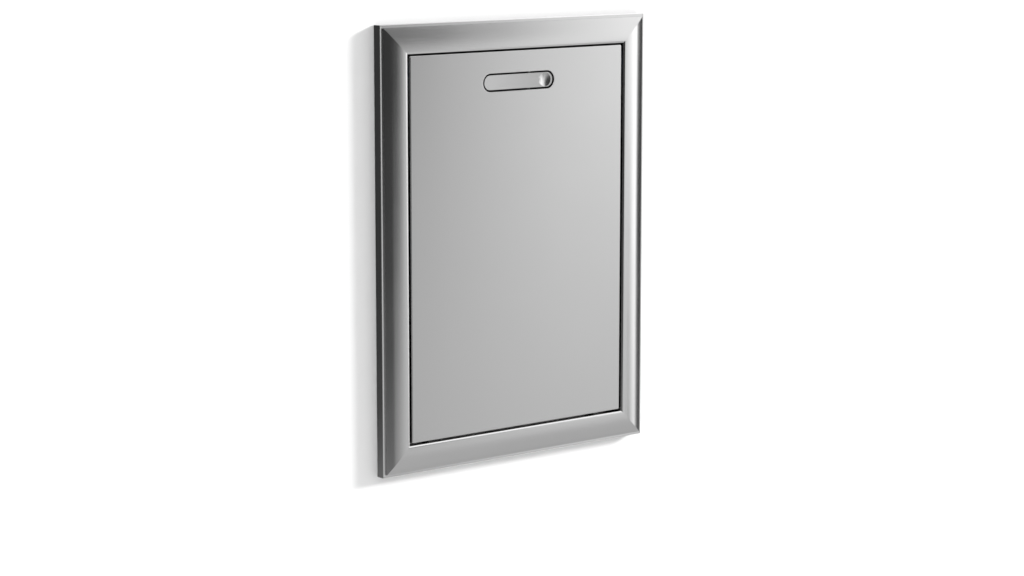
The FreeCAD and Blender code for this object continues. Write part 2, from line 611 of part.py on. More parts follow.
def slides():
    """Right-hand ball slide in three members with two ball cages, mirrored for the left."""
    outer_web = PANEL_X
    outer = channel(outer_web, -OUTER_REACH, OUTER_HALF_HEIGHT, OUTER_SHEET, SLIDE_FRONT, SLIDE_BACK)
    outer = drilled(outer, SLIDE_RIVETS[:4], RIVET_RADIUS, OUTER_SHEET)
    middle = channel(MIDDLE_WEB_X, -MIDDLE_REACH, MIDDLE_HALF_HEIGHT, MEMBER_SHEET, SLIDE_FRONT, SLIDE_BACK)
    inner = channel(INNER_WEB_X, INNER_REACH, INNER_HALF_HEIGHT, MEMBER_SHEET, SLIDE_FRONT, BOX_BACK)
    inner = drilled(inner, SLIDE_SCREWS[:3], SCREW_RADIUS, BOX_SHEET + MEMBER_SHEET)
    inner = drilled(inner, RELEASE_PIVOTS[:1], SCREW_RADIUS, RELEASE_GRIP + MEMBER_SHEET)
    outer_tip = outer_web - OUTER_REACH + CAGE_MARGIN
    middle_tip = MIDDLE_WEB_X - MIDDLE_REACH + CAGE_MARGIN
    outer_level = MIDDLE_HALF_HEIGHT + BALL_GAP / 2
    inner_level = INNER_HALF_HEIGHT + BALL_GAP / 2
    outer_cage, outer_balls = ball_row(outer_tip, MIDDLE_WEB_X - BEND_RADIUS, outer_level)
    inner_cage, inner_balls = ball_row(middle_tip, INNER_WEB_X + INNER_REACH, inner_level)
    pieces = {}
    for name, piece in {
        "slide_outer_member": outer,
        "slide_middle_member": middle,
        "slide_inner_member": inner,
        "outer_ball_cage": outer_cage,
        "outer_balls": outer_balls,
        "inner_ball_cage": inner_cage,
        "inner_balls": inner_balls,
        "release_lever": release_lever(),
    }.items():
        pieces[name + "_right"] = piece
        pieces[name + "_left"] = mirrored(piece)
    pieces["slide_rivets"] = group(rivets(SLIDE_RIVETS, OUTER_SHEET + CABINET_SHEET))
    pieces["slide_screws"] = group(screws(SLIDE_SCREWS, BOX_SHEET + MEMBER_SHEET + SCREW_END))
    pivots = screws(RELEASE_PIVOTS, RELEASE_GRIP + MEMBER_SHEET, head=RELEASE_PIVOT_HEAD)
    pieces["release_pivots"] = group(pivots)
    return pieces


def release_lever():
    """Lever in the channel of the inner slide member: thumb tab in front, tail behind, on a pivot stud."""
    x0 = BOX_X + MEMBER_SHEET + RELEASE_CLEARANCE
    x1 = x0 + RELEASE_THICKNESS

    def bar(x_end, y0, y1, half_height):
        return box(x0, x_end, RELEASE_Y + y0, RELEASE_Y + y1, SLIDE_Z - half_height, SLIDE_Z + half_height)

    pivot = Vector(x0, RELEASE_Y, SLIDE_Z)
    lever = fused(
        Part.makeCylinder(RELEASE_HUB_RADIUS, x1 - x0, pivot, ALONG_X),
        bar(x1, -RELEASE_ARM_LENGTH, 0, RELEASE_ARM_HALF_HEIGHT),
        bar(x1, 0, RELEASE_TAIL_LENGTH, RELEASE_TAIL_HALF_HEIGHT),
        bar(x1 + RELEASE_TAB_RISE, -RELEASE_TAB_FRONT, -RELEASE_TAB_BACK, RELEASE_TAB_HALF_HEIGHT),
    )
    return drilled(lever, [(pivot, ALONG_X)], SCREW_RADIUS + PIN_CLEARANCE, x1 - x0 + OVERCUT)


def drawer_box():
    """Sheet box on the slides: sides, floor, back, tall front plate, gusset brackets and bin divider."""
    sheet = BOX_SHEET
    high = BOX_LOW + BOX_HEIGHT
    side = fused(
        box(BOX_INNER_X, BOX_X, BOX_FRONT, BOX_BACK, BOX_LOW - sheet, high),
        box(BOX_INNER_X - BOX_FLANGE, BOX_INNER_X, BOX_FRONT, BOX_BACK, BOX_LOW - sheet, BOX_LOW),
    )
    side = drilled(side, SLIDE_SCREWS[:3], SCREW_RADIUS, sheet)
    side = drilled(side, BOX_FLOOR_RIVETS[:3], RIVET_RADIUS, 2 * sheet)
    side = drilled(side, BOX_BACK_RIVETS[:2] + BRACKET_RIVETS[:4], RIVET_RADIUS, 2 * sheet)
    floor = box(-BOX_INNER_X, BOX_INNER_X, BOX_FRONT, BOX_BACK - sheet, BOX_LOW, BOX_FLOOR)
    floor = drilled(floor, BOX_FLOOR_RIVETS, RIVET_RADIUS, sheet)
    wing = box(WEB_X, BOX_INNER_X, BOX_BACK - BACK_WING, BOX_BACK, BOX_FLOOR, high)
    back = fused(
        box(-BOX_INNER_X, BOX_INNER_X, BOX_BACK - sheet, BOX_BACK, BOX_LOW, high),
        wing,
        mirrored(wing),
    )
    back = drilled(back, BOX_BACK_RIVETS, RIVET_RADIUS, sheet)
    plate = box(-BOX_X, BOX_X, DOOR_BACK, BOX_FRONT, BOX_LOW, BOX_LOW + FRONT_PLATE_HEIGHT)
    plate = drilled(plate, FRONT_SCREWS, SCREW_RADIUS, 2 * sheet)
    web_low, web_high = BOX_FLOOR, BOX_LOW + FRONT_PLATE_HEIGHT
    corners = [(BOX_FRONT, web_low), (BRACKET_FOOT, web_low), (BRACKET_FOOT, high),
               (BRACKET_TIP, web_high), (BOX_FRONT, web_high)]
    points = [Vector(WEB_X, y, z) for y, z in corners]
    web = Part.Face(Part.makePolygon(points + points[:1])).extrude(Vector(sheet, 0, 0))
    bracket = fused(web, box(WEB_X - BRACKET_FLANGE, WEB_X, BOX_FRONT, BOX_FRONT + sheet, web_low, web_high))
    bracket = drilled(bracket, BRACKET_RIVETS[:4], RIVET_RADIUS, sheet)
    bracket = drilled(bracket, FRONT_SCREWS[:4], SCREW_RADIUS, sheet)
    foot = box(-BOX_INNER_X, BOX_INNER_X, DIVIDER_Y, DIVIDER_Y + DIVIDER_FOOT, BOX_FLOOR, BOX_FLOOR + sheet)
    upright_high = BOX_FLOOR + DIVIDER_HEIGHT
    upright = box(-BOX_INNER_X, BOX_INNER_X, DIVIDER_Y - sheet, DIVIDER_Y, BOX_FLOOR, upright_high)
    return {
        "drawer_right_side": side,
        "drawer_left_side": mirrored(side),
        "drawer_floor": floor,
        "drawer_back": back,
        "drawer_front_plate": plate,
        "front_bracket_right": bracket,
        "front_bracket_left": mirrored(bracket),
        "bin_divider": fused(foot, upright),
        "drawer_rivets": group(rivets(BOX_FLOOR_RIVETS + BOX_BACK_RIVETS + BRACKET_RIVETS, 2 * sheet)),
        "front_screws": group(screws(FRONT_SCREWS, 2 * sheet + DOOR_SHEET + SCREW_END)),
    }


def drawer_front():
    """Hollow front: a folded skin with softened edges and the pull's cut-out, closed by an inner panel."""
    sheet = DOOR_SHEET
    skin = box(-DOOR_X, DOOR_X, DOOR_FRONT, DOOR_BACK, DOOR_LOW, DOOR_HIGH)
    soft = [edge for edge in skin.Edges if any(abs(v.Y - DOOR_FRONT) < 1e-6 for v in edge.Vertexes)]
    skin = skin.makeFillet(DOOR_EDGE_RADIUS, soft)
    inside_x, inside_low, inside_high = DOOR_X - sheet, DOOR_LOW + sheet, DOOR_HIGH - sheet
    skin = skin.cut(box(-inside_x, inside_x, SKIN_BACK, DOOR_BACK + OVERCUT, inside_low, inside_high))
    skin = skin.cut(pill(CUTOUT_LENGTH, CUTOUT_HEIGHT, DOOR_FRONT - OVERCUT, SKIN_BACK + OVERCUT))
    panel = box(-inside_x, inside_x, DOOR_BACK - sheet, DOOR_BACK, inside_low, inside_high)
    spare = CUP_HALF_LENGTH + sheet + CUP_CLEARANCE
    rise = CUP_HALF_HEIGHT + sheet + CUP_CLEARANCE
    panel = panel.cut(box(-spare, spare, DOOR_BACK - sheet - OVERCUT, DOOR_BACK + OVERCUT,
                          HANDLE_Z - rise, HANDLE_Z + rise))
    panel = drilled(panel, FRONT_SCREWS, SCREW_RADIUS, 2 * BOX_SHEET + sheet)
    low, high = DOOR_LOW + STIFFENER_LOW_GAP, HANDLE_Z - rise - STIFFENER_HIGH_GAP
    half = STIFFENER_WIDTH / 2
    front, rear = SKIN_BACK, DOOR_BACK - sheet
    stiffener = fused(
        box(STIFFENER_X - half, STIFFENER_X + half, front, front + sheet, low, high),
        box(STIFFENER_X - half, STIFFENER_X - half + sheet, front, rear, low, high),
        box(STIFFENER_X + half - sheet, STIFFENER_X + half, front, rear, low, high),
    )
    return {
        "front_skin": skin,
        "front_inner_panel": panel,
        "front_stiffener_right": stiffener,
        "front_stiffener_left": mirrored(stiffener),
    }


def pull_cup():
    """Moulded pocket flanged to the back of the skin, with its studs, pin, clips and rest pad."""
    sheet = DOOR_SHEET
    length, height = CUP_HALF_LENGTH, CUP_HALF_HEIGHT
    low, high = HANDLE_Z - height, HANDLE_Z + height
    flange_back = SKIN_BACK + sheet
    cup = fused(
        box(-length - sheet, length + sheet, SKIN_BACK, CUP_BACK + sheet, low - sheet, high + sheet),
        box(-length - CUP_FLANGE, length + CUP_FLANGE, SKIN_BACK, flange_back,
            low - CUP_FLANGE - sheet, high + CUP_FLANGE + sheet),
    )
    cup = cup.cut(box(-length, length, SKIN_BACK - OVERCUT, CUP_BACK, low, high))
    cup = drilled(cup, [(point - ALONG_Y * sheet, direction) for point, direction in CUP_STUDS],
                  SCREW_RADIUS, sheet)
    pin_reach = height + sheet + CLIP_THICKNESS + PIN_END
    pin_foot = Vector(PIVOT_X, PIVOT_Y, HANDLE_Z - pin_reach)
    pin = Part.makeCylinder(PIN_RADIUS, 2 * pin_reach, pin_foot)
    cup = cup.cut(pin)
    clips = []
    for level in (low - sheet - CLIP_THICKNESS, high + sheet):
        ring = Part.makeCylinder(CLIP_RADIUS, CLIP_THICKNESS, Vector(PIVOT_X, PIVOT_Y, level))
        slot = box(PIVOT_X - CLIP_SLOT_HALF_WIDTH, PIVOT_X + CLIP_SLOT_HALF_WIDTH, PIVOT_Y,
                   PIVOT_Y + CLIP_RADIUS + OVERCUT, level - OVERCUT, level + CLIP_THICKNESS + OVERCUT)
        clips.append(ring.cut(pin).cut(slot))
    nuts = []
    turns = [math.radians(60 * k) for k in range(7)]
    for point, direction in CUP_STUDS:
        hexagon = [point + Vector(math.cos(turn), 0, math.sin(turn)) * NUT_RADIUS for turn in turns]
        nut = Part.Face(Part.makePolygon(hexagon)).extrude(direction * NUT_HEIGHT)
        stud = Part.makeCylinder(SCREW_RADIUS, sheet + STUD_LENGTH, point - direction * sheet, direction)
        nuts.append(fused(nut, stud))
    pad_front = LEVER_BACK + CLOSED_GAP
    pad = box(-length, -length + PAD_LENGTH, pad_front, pad_front + PAD_THICKNESS,
              HANDLE_Z - PAD_HALF_HEIGHT, HANDLE_Z + PAD_HALF_HEIGHT)
    return {
        "pull_cup": cup,
        "pull_pin": pin,
        "pull_pin_clips": group(clips),
        "pull_cup_nuts": group(nuts),
        "pull_rest_pad": pad,
    }


def pull_lever():
    """Rocker lever: a pill just under flush, a thumb scoop at its right end and a pivot barrel behind."""
    plate = pill(LEVER_LENGTH, LEVER_HEIGHT, LEVER_FRONT, LEVER_BACK)
    front_rim = [edge for edge in plate.Edges if all(abs(v.Y - LEVER_FRONT) < 1e-6 for v in edge.Vertexes)]
    plate = plate.makeFillet(LEVER_EDGE_RADIUS, front_rim)
    sphere = (SCOOP_RADIUS ** 2 + SCOOP_DEPTH ** 2) / (2 * SCOOP_DEPTH)
    scoop = Part.makeSphere(sphere, Vector(SCOOP_X, LEVER_FRONT + SCOOP_DEPTH - sphere, HANDLE_Z))
    barrel_foot = Vector(PIVOT_X, PIVOT_Y, HANDLE_Z + BARREL_LOW)
    barrel = Part.makeCylinder(BARREL_RADIUS, BARREL_HIGH - BARREL_LOW, barrel_foot)
    lever = fused(plate.cut(scoop), barrel)
    bore_length = BARREL_HIGH - BARREL_LOW + OVERCUT
    return drilled(lever, [(barrel_foot, ALONG_Z)], PIN_RADIUS + PIN_CLEARANCE, bore_length)


def tangent_arcs(start, start_way, end, end_way):
    """Biarc: two arcs that leave start along start_way and reach end along end_way."""
    chord = end - start
    ways = start_way + end_way
    spread = 2 * (1 - start_way.dot(end_way))
    along = chord.dot(ways)
    step = (math.sqrt(along ** 2 + spread * chord.dot(chord)) - along) / spread
    first, second = start + start_way * step, end - end_way * step
    joint = (first + second) * 0.5
    arcs = []
    for a, corner, b in ((start, first, joint), (joint, second, end)):
        middle = (a + b) * 0.5
        cosine = (b - a).Length / (2 * step)
        arcs.append((a, middle + (corner - middle) * (cosine / (1 + cosine)), b))
    return arcs


def pull_spring():
    """Torsion spring on the pin: one leg along the lever's back, close turns, one leg to the cup's back."""
    base = HANDLE_Z + BARREL_HIGH + SPRING_WIRE_RADIUS + SPRING_CLEARANCE
    first, last = -90.0, 45.0 + 360.0 * SPRING_TURNS
    steps = math.ceil((last - first) / 90.0)
    rise_per_degree = SPRING_PITCH / 360.0

    def on_turn(angle):
        a = math.radians(angle)
        place = Vector(PIVOT_X + SPRING_RADIUS * math.cos(a), PIVOT_Y + SPRING_RADIUS * math.sin(a),
                       base + (angle - first) * rise_per_degree)
        way = Vector(-SPRING_RADIUS * math.sin(a), SPRING_RADIUS * math.cos(a), SPRING_PITCH / (2 * math.pi))
        return place, way.normalize()

    stops = [on_turn(first + (last - first) * k / steps) for k in range(steps + 1)]
    segments = [(stops[0][0] - stops[0][1] * SPRING_LEVER_LEG, stops[0][0])]
    for (a, a_way), (b, b_way) in zip(stops, stops[1:]):
        segments += tangent_arcs(a, a_way, b, b_way)
    segments.append((stops[-1][0], stops[-1][0] + stops[-1][1] * SPRING_CUP_LEG))
    path = outline(segments)
    section = Part.Wire(Part.makeCircle(SPRING_WIRE_RADIUS, segments[0][0], stops[0][1]))
    print("spring: least gap between turns %.2f mm" % (SPRING_PITCH - 2 * SPRING_WIRE_RADIUS))
    return path.makePipeShell([section], True, False)


def lift_out_bin(y_centre):
    """Tapered bin with round corners, open at the top, under a rim that turns out and down."""
    top = BIN_LOW + BIN_HEIGHT
    width, length = BIN_WIDTH - 2 * BIN_RIM, BIN_LENGTH - 2 * BIN_RIM

    def shell(inset, low, high):
        wires = []
        for z in (low, high):
            draft = BIN_DRAFT * (top - z) / BIN_HEIGHT
            shrink = 2 * (inset + draft)
            radius = BIN_CORNER - inset
            wires.append(rounded_rectangle(width - shrink, length - shrink, radius, y_centre, z))
        return Part.makeLoft(wires, True, True)

    def prism(grow, low, high):
        wire = rounded_rectangle(width + 2 * grow, length + 2 * grow, BIN_CORNER + grow, y_centre, low)
        return Part.Face(wire).extrude(Vector(0, 0, high - low))

    rim_low = top - BIN_RIM_DROP
    rim = prism(BIN_RIM, rim_low, top).cut(prism(BIN_RIM - BIN_WALL, rim_low - OVERCUT, top - BIN_WALL))
    body = shell(0, BIN_LOW, top).fuse(rim)
    return body.cut(shell(BIN_WALL, BIN_LOW + BIN_WALL, top + OVERCUT)).removeSplitter()


nodes = {}
nodes.update(trim_frame())
nodes.update(cabinet())
nodes.update(stops_and_catch())
nodes.update(slides())
nodes.update(drawer_box())
nodes.update(drawer_front())
nodes.update(pull_cup())
nodes["pull_lever"] = pull_lever()
nodes["pull_spring"] = pull_spring()
for bin_name, centre in BIN_CENTRES.items():
    nodes[bin_name] = lift_out_bin(centre)

os.makedirs("parts", exist_ok=True)
for name, shape in nodes.items():
    shape.exportStep("parts/" + name + ".step")
    facts = (name, len(shape.Solids), shape.isValid(), shape.Volume)
    print("%-26s solids %2d  valid %s  volume %.0f" % facts)
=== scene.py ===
import json
import math
from functools import partial

import bmesh
import bpy
import numpy as np
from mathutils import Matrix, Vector


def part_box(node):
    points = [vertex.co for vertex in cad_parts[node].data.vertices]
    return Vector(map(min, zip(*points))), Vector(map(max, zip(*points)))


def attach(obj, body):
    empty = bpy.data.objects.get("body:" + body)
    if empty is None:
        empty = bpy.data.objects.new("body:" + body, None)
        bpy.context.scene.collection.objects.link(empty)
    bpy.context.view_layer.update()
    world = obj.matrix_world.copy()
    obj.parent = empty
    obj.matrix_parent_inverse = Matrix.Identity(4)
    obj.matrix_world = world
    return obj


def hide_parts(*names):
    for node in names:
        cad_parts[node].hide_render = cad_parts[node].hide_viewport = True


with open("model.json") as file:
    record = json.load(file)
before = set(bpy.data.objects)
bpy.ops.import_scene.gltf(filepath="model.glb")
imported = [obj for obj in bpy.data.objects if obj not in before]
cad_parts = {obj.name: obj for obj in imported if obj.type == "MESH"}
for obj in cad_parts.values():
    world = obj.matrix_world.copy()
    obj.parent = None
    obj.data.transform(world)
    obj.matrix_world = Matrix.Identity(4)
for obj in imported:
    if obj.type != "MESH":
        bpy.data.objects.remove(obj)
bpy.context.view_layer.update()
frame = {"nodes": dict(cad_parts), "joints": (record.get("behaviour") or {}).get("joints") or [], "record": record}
nodes = frame["nodes"]

# The trash and recycling drawer in its wall: satin steel trim, flush front and rocker pull, sheet cabinet,
# ball slides, drawer box and two bins. Metres, front towards -Y, wall surface on y = 0.
MM = 0.001

# Trim section, as in the solids, with the small bends that a press brake leaves; turns in degrees
SHEET = 1.5 * MM
FLANGE = 24 * MM
JAMB_BEND = 0.4 * MM
LIP_REACH = 2.0 * MM
LIP_TURN = 26.0
ROLL_RADIUS = 12.0 * MM
ROLL_TURN = 8.0
CROWN = 8.0 * MM
GENTLE_RADIUS = 230 * MM
SHOULDER_START = 25 * MM
SHOULDER_RADIUS = 75 * MM
LEDGE = 4.6 * MM
LEDGE_DEPTH = 5.9 * MM
LEDGE_LEAN = 0.10 * MM
LEDGE_RADIUS = 0.5 * MM
WALL_BEND = 1.5 * MM

# Drawer front; the step between points of its edge in degrees, seen from the pull
SKIN = 1.2 * MM
FRONT_EDGE = 1.3 * MM
FRONT_CORNER = 2.4 * MM
FRONT_STEP = 0.6
CUTOUT_EDGE = 0.4 * MM
CUTOUT_MARGIN = 3.0 * MM
CUTOUT_LENGTH = 138.5 * MM
CUTOUT_HEIGHT = 28.0 * MM

# Rocker pull
LEVER_POINTS = 540
LEVER_THICKNESS = 4.0 * MM
LEVER_EDGE = 0.5 * MM
LEVER_HOLLOW = 0.5 * MM
LEVER_BACK_EDGE = 0.3 * MM
SCOOP_X = 52.0 * MM
SCOOP_RADIUS = 10.5 * MM
SCOOP_DEPTH = 0.8 * MM
SCOOP_LIP = 0.03 * MM
RING_GAP = 0.15 * MM
PLATE_START = 1.4 * RING_GAP
BARREL_RADIUS = 5.6 * MM
BARREL_BORE = 2.55 * MM
BARREL_LOW = -11.0 * MM
BARREL_HIGH = 1.5 * MM
BARREL_CHAMFER = 0.4 * MM

# Bins; the band's places are shares of the height
BIN_WALL = 2.5 * MM
BIN_RIM = 7.0 * MM
BIN_RIM_DROP = 16 * MM
BIN_DRAFT = 15 * MM
BIN_CORNER = 40 * MM
BIN_FOOT_RADIUS = 8 * MM
BIN_PUSH_UP = 4 * MM
BIN_PUSH_UP_EDGE = 20 * MM
BIN_PUSH_UP_TOP = 24 * MM
BIN_MIDDLE = 34 * MM
BIN_FLOOR_RADIUS = 14 * MM
BIN_BAND_LOW = 0.80
BIN_BAND_HIGH = 0.82
BIN_BAND_STEP = 1.4 * MM
BIN_NECK_STEP = 1.0 * MM
BIN_NECK_DROP = 20 * MM
BIN_NECK_FILLET = 0.6 * MM
BIN_SKIRT_EASE = 0.8 * MM
BIN_SKIRT_DROP = 1.5 * MM
BIN_RIM_RADIUS = 3 * MM
BIN_MOUTH_RADIUS = 2 * MM

# Camera
CAMERA_PLACE = (-2.4910, -3.1377, 0.8960)
CAMERA_YAW = 38.483
CAMERA_PITCH = 9.147
FOCAL_PIXELS = 2609.9
PHOTO_WIDTH = 1024
SENSOR_WIDTH = 36.0

# Stage
FLOOR_Z = -0.42
STAGE_REACH = 14.0
WALL_TOP = 7.0
CUT_WIDTH = 0.460
CUT_LOW = 0.018
CUT_HIGH = 0.640
WALL_BEHIND = 0.0002

# Lamp, as azimuth, elevation and spread in degrees, and strength
KEY = (69.5, 18, 12, 5.2)

# Light levels of the room, where 1 is white
ROOM = 0.55
FLOOR_GLOW = 0.82
WINDOW = 1.50
WINDOW_CORE = 2.05
SIDE_WINDOW = 1.50
DARK_SIDE = 0.05
DARK_LOW = 0.10

# How far the upright bar low in the window takes the light towards the dark side's level, as a share
WINDOW_BAR = 0.60

# Degrees to the right between which an area rises, then falls
GLOW_SPAN = (21, 38, 52, 60)
WINDOW_SPAN = (30, 44, 49, 57)
HIGH_WINDOW_SPAN = (35.2, 42, 52, 66)
BAR_SPAN = (40.6, 42.4, 43.6, 45.6)
CORE_SPAN = (44, 47.6, 48.8, 54.7)
DARK_SPAN = (-75, -60, -16, -4)

# Degrees to the right between which an area takes over
LEFT_GLOW = (-25, -50)
LEFT_ROOM = (-30, -60)
SIDE_AHEAD = (72, 79)
SIDE_BEHIND = (30, 45)

# Degrees back between which the room behind takes over
BEHIND = (2, 14)

# Degrees up between which an area takes over
LOW_TO_MIDDLE = (-14.5, -3.5)
MIDDLE_TO_HIGH = (-7, 3)
BAR_DROP = (-2, -10)
CORE_RISE = (-22, 0)

# Floor and ceiling: degrees up between which each takes over from the one before, and its light level
FLOOR_NEAR = (-11.5, -17.5, 0.60)
FLOOR_DEEP = (-25, -45, 0.50)
FLOOR_UNDER = (-36, -41, 0.80)
SKYLIGHT = (21.5, 27, 1.55)
CEILING = (34, 46, 0.80)

# Colours of steel and of the stage's paint, and how far the steel's tone varies
STEEL = (0.62, 0.62, 0.62)
PULL_STEEL = (0.54, 0.54, 0.54)
SHEET_STEEL = (0.58, 0.58, 0.58)
PALE = (0.80, 0.80, 0.80)
STEEL_MOTTLE = 0.012

top_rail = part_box("trim_top_rail")
bottom_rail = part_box("trim_bottom_rail")
right_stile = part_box("trim_right_stile")
skin_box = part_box("front_skin")
lever_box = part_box("pull_lever")
RAIL_BAND = top_rail[1].z - top_rail[0].z
STILE_BAND = right_stile[1].x - right_stile[0].x
TRIM_FRONT = top_rail[0].y
TRIM_DEPTH = top_rail[1].y - top_rail[0].y
OPEN_X = right_stile[0].x
OPEN_LOW = bottom_rail[1].z
OPEN_HIGH = top_rail[0].z
FRONT_Y = skin_box[0].y
PULL_Y = lever_box[0].y
PULL_Z = (lever_box[0].z + lever_box[1].z) / 2


# Mesh helpers

def put_mesh(name, points, faces, uv=None, sharp=35.0):
    """Mesh object at the origin, with outward faces, smooth shading and creases past the sharp angle."""
    mesh = bpy.data.meshes.new(name)
    mesh.from_pydata(points.tolist(), [], faces)
    if uv is not None:
        corners = np.empty(len(mesh.loops), dtype=np.int32)
        mesh.loops.foreach_get("vertex_index", corners)
        layer = mesh.uv_layers.new(name="Grain")
        layer.data.foreach_set("uv", uv[corners].astype(np.float32).ravel())
    work = bmesh.new()
    work.from_mesh(mesh)
    bmesh.ops.recalc_face_normals(work, faces=work.faces)
    work.to_mesh(mesh)
    work.free()
    mesh.shade_smooth()
    mesh.set_sharp_from_angle(angle=math.radians(sharp))
    piece = bpy.data.objects.new(name, mesh)
    bpy.context.scene.collection.objects.link(piece)
    flats = piece.modifiers.new("even_flats", "WEIGHTED_NORMAL")
    flats.keep_sharp = True
    return piece


def grid_faces(rows, columns, wrap_rows=False):
    """Quads of a grid of points that are stored row by row.

    Each row is closed. With wrap_rows the last row also joins the first.
    """
    row = np.arange(rows if wrap_rows else rows - 1)[:, None]
    column = np.arange(columns)[None, :]
    here, after = row * columns, ((row + 1) % rows) * columns
    beside = (column + 1) % columns
    quads = np.stack([here + column, here + beside, after + beside, after + column], axis=-1)
    return quads.reshape(-1, 4).tolist()


def fan_faces(start, columns, pole):
    """Triangles from one closed row of points to a pole."""
    column = np.arange(columns)
    fan = np.stack([start + column, start + (column + 1) % columns, np.full(columns, pole)], axis=-1)
    return fan.tolist()


def arc(centre, radius, first, last, count):
    """Points of a circular arc between two angles in degrees."""
    turn = np.radians(np.linspace(first, last, count))
    return np.stack([centre[0] + radius * np.cos(turn), centre[1] + radius * np.sin(turn)], axis=1)


def place(piece, body, slot, material, *replaced):
    """Puts a new piece on its body, with its finish, in place of the solids that it stands for."""
    piece.data.materials.append(material)
    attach(piece, body)
    if replaced:
        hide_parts(*replaced)


# Materials

def add_node(tree, kind, inputs=None, **settings):
    """Adds a node with its settings, and links its inputs or sets their values."""
    node = tree.nodes.new(kind)
    for key, value in settings.items():
        setattr(node, key, value)
    for key, value in (inputs or {}).items():
        if isinstance(value, bpy.types.NodeSocket):
            tree.links.new(value, node.inputs[key])
        else:
            node.inputs[key].default_value = value
    return node


def new_material(name):
    """Node material with only its shader: the material, its node tree, the shader and an adder of nodes."""
    material = bpy.data.materials.new(name)
    material.use_nodes = True
    tree = material.node_tree
    return material, tree, tree.nodes["Principled BSDF"], partial(add_node, tree)


def stretch(add, noise, low, high, margin=0.3):
    """Carries the middle of a noise, without a margin at each end, to the range from low to high."""
    return add("ShaderNodeMapRange", {
        "Value": noise.outputs["Fac"], "From Min": margin, "From Max": 1 - margin,
        "To Min": low, "To Max": high,
    }).outputs["Result"]


def satin_steel(name, colour, roughness, grain, source="Object", depth=0.010, anisotropy=0.0):
    """Brushed stainless: a noise drawn out along the grain varies tone, gloss and height.

    A broad noise clouds it. Grain gives the fine noise's cycles per metre along each coordinate.
    """
    material, tree, shader, add = new_material(name)
    shader.inputs["Metallic"].default_value = 1.0
    shader.inputs["Anisotropic"].default_value = anisotropy
    shader.inputs["Anisotropic Rotation"].default_value = 0.25
    where = add("ShaderNodeTexCoord").outputs[source]
    stretched = add("ShaderNodeMapping", {"Vector": where, "Scale": grain}).outputs["Vector"]
    lines = add("ShaderNodeTexNoise", {"Vector": stretched, "Scale": 1.0, "Detail": 4.0, "Roughness": 0.65})
    cloud = add("ShaderNodeTexNoise", {"Vector": where, "Scale": 9.0, "Detail": 2.0})
    fine = stretch(add, lines, -STEEL_MOTTLE, STEEL_MOTTLE, 0.25)
    broad = stretch(add, cloud, -STEEL_MOTTLE, STEEL_MOTTLE)
    both = add("ShaderNodeMath", {0: fine, 1: broad}, operation="ADD")
    tone = add("ShaderNodeMath", {0: both.outputs["Value"], 1: 1.0}, operation="ADD")
    tint = add("ShaderNodeVectorMath", {0: colour, "Scale": tone.outputs["Value"]}, operation="SCALE")
    gloss = add("ShaderNodeMath", {0: both.outputs["Value"], 1: 1.2, 2: roughness},
                operation="MULTIPLY_ADD")
    bump = add("ShaderNodeBump", {"Height": lines.outputs["Fac"], "Strength": 0.08, "Distance": depth * MM})
    tree.links.new(tint.outputs["Vector"], shader.inputs["Base Color"])
    tree.links.new(gloss.outputs["Value"], shader.inputs["Roughness"])
    tree.links.new(bump.outputs["Normal"], shader.inputs["Normal"])
    if anisotropy:
        along = add("ShaderNodeTangent", direction_type="UV_MAP", uv_map="Grain")
        tree.links.new(along.outputs["Tangent"], shader.inputs["Tangent"])
    return material


def plated_steel(name, colour, roughness):
    """Zinc-plated or bright steel: a soft mottle in tone and gloss."""
    material, tree, shader, add = new_material(name)
    shader.inputs["Metallic"].default_value = 1.0
    where = add("ShaderNodeTexCoord").outputs["Object"]
    mottle = add("ShaderNodeTexNoise", {"Vector": where, "Scale": 70.0, "Detail": 2.0})
    tone = stretch(add, mottle, 0.96, 1.03)
    tint = add("ShaderNodeVectorMath", {0: colour, "Scale": tone}, operation="SCALE")
    gloss = stretch(add, mottle, roughness - 0.03, roughness + 0.03)
    tree.links.new(tint.outputs["Vector"], shader.inputs["Base Color"])
    tree.links.new(gloss, shader.inputs["Roughness"])
    return material


def moulded(name, colour, roughness, pebble, depth):
    """Moulded plastic or rubber: a fine pebble in the surface and slight unevenness in tone and gloss."""
    material, tree, shader, add = new_material(name)
    where = add("ShaderNodeTexCoord").outputs["Object"]
    grit = add("ShaderNodeTexNoise", {"Vector": where, "Scale": pebble, "Detail": 3.0})
    cloud = add("ShaderNodeTexNoise", {"Vector": where, "Scale": 14.0, "Detail": 3.0})
    tone = stretch(add, cloud, 0.92, 1.08)
    tint = add("ShaderNodeVectorMath", {0: colour, "Scale": tone}, operation="SCALE")
    gloss = stretch(add, cloud, roughness - 0.05, roughness + 0.05)
    bump = add("ShaderNodeBump", {"Height": grit.outputs["Fac"], "Strength": 0.5, "Distance": depth * MM})
    tree.links.new(tint.outputs["Vector"], shader.inputs["Base Color"])
    tree.links.new(gloss, shader.inputs["Roughness"])
    tree.links.new(bump.outputs["Normal"], shader.inputs["Normal"])
    return material


# Trim frame

